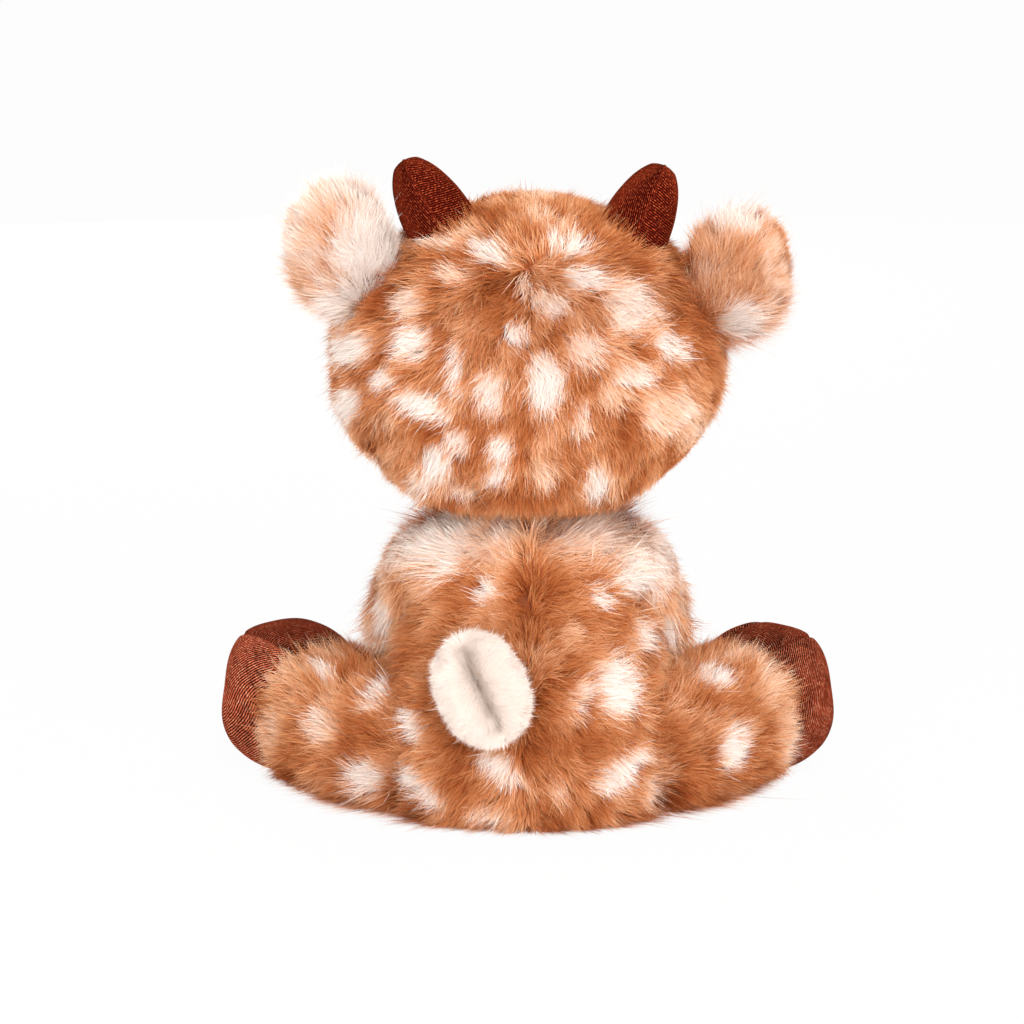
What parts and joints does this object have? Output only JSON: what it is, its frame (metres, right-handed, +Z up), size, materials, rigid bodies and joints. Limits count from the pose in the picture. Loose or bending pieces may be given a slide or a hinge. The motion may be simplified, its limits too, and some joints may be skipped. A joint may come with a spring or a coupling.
{
  "type": "plush deer",
  "caption": "Sitting stuffed fawn of long spotted fur, with splayed legs, velvet hooves and horns, round ears and a soft tail flap",
  "frame": {"origin": "the middle of the flat seat, on the surface that the toy sits on", "axes": "+Z up, the face looks along -Y, the toy's own left is +X"},
  "size_m": [0.2676, 0.1573, 0.2751],
  "materials": {
    "fur": "matte",
    "pale_fur": "matte",
    "white_plush": "matte",
    "velvet": "satin",
    "filling": "matte",
    "pellet_cloth": "matte",
    "eye_plastic": "gloss",
    "washer_plastic": "matte"
  },
  "bodies": {
    "torso": {"body_skin": "fur", "body_stuffing": "filling", "pellet_bag": "pellet_cloth"},
    "neck": {"neck_plug": "filling"},
    "head": {"head_skin": "fur", "head_stuffing": "filling", "muzzle": "pale_fur", "nose": "velvet", "eye_left": "eye_plastic", "eye_right": "eye_plastic", "eye_washer_left": "washer_plastic", "eye_washer_right": "washer_plastic", "horn_left": "velvet", "horn_right": "velvet", "horn_stuffing_left": "filling", "horn_stuffing_right": "filling"},
    "ear_left": {"ear_back_left": "fur", "ear_lining_left": "pale_fur"},
    "ear_right": {"ear_back_right": "fur", "ear_lining_right": "pale_fur"},
    "arm_left": {"arm_skin_left": "fur", "arm_hoof_left": "velvet", "arm_stuffing_left": "filling"},
    "arm_right": {"arm_skin_right": "fur", "arm_hoof_right": "velvet", "arm_stuffing_right": "filling"},
    "leg_left": {"leg_skin_left": "fur", "leg_hoof_left": "velvet", "leg_sole_left": "velvet", "leg_stuffing_left": "filling"},
    "leg_right": {"leg_skin_right": "fur", "leg_hoof_right": "velvet", "leg_sole_right": "velvet", "leg_stuffing_right": "filling"},
    "tail": {"tail": "white_plush"}
  },
  "joints": [
    {"name": "neck_nod", "type": "hinge", "parent": "torso", "child": "neck", "pos_m": [0, -0.004, 0.1285], "axis": [-1, 0, 0], "range_deg": [-15, 15], "stiffness_Nm_per_rad": 0.4},
    {"name": "head_turn", "type": "hinge", "parent": "neck", "child": "head", "pos_m": [0, -0.004, 0.1285], "axis": [0, 0, 1], "range_deg": [-35, 35], "stiffness_Nm_per_rad": 0.1},
    {"name": "ear_flop_left", "type": "hinge", "parent": "head", "child": "ear_left", "pos_m": [0.068, 0.006, 0.219], "axis": [-0.9063, 0, 0.4226], "range_deg": [-20, 20], "stiffness_Nm_per_rad": 0.02},
    {"name": "ear_flop_right", "type": "hinge", "parent": "head", "child": "ear_right", "pos_m": [-0.076, 0.006, 0.21], "axis": [-0.866, 0, -0.5], "range_deg": [-20, 20], "stiffness_Nm_per_rad": 0.02},
    {"name": "arm_raise_left", "type": "hinge", "parent": "torso", "child": "arm_left", "pos_m": [0.0452, -0.008, 0.105], "axis": [-0.9613, 0, -0.2756], "range_deg": [0, 50], "stiffness_Nm_per_rad": 0.03},
    {"name": "arm_raise_right", "type": "hinge", "parent": "torso", "child": "arm_right", "pos_m": [-0.0452, -0.008, 0.105], "axis": [-0.9613, 0, 0.2756], "range_deg": [0, 50], "stiffness_Nm_per_rad": 0.03},
    {"name": "leg_splay_left", "type": "hinge", "parent": "torso", "child": "leg_left", "pos_m": [0.046, -0.005, 0], "axis": [0, 0, 1], "range_deg": [-8, 24], "stiffness_Nm_per_rad": 0.1},
    {"name": "leg_splay_right", "type": "hinge", "parent": "torso", "child": "leg_right", "pos_m": [-0.046, -0.005, 0], "axis": [0, 0, -1], "range_deg": [-8, 24], "stiffness_Nm_per_rad": 0.1},
    {"name": "tail_lift", "type": "hinge", "parent": "torso", "child": "tail", "pos_m": [0.0265, 0.036, 0.078], "axis": [0.8988, 0, -0.4384], "range_deg": [0, 50], "stiffness_Nm_per_rad": 0.01}
  ]
}
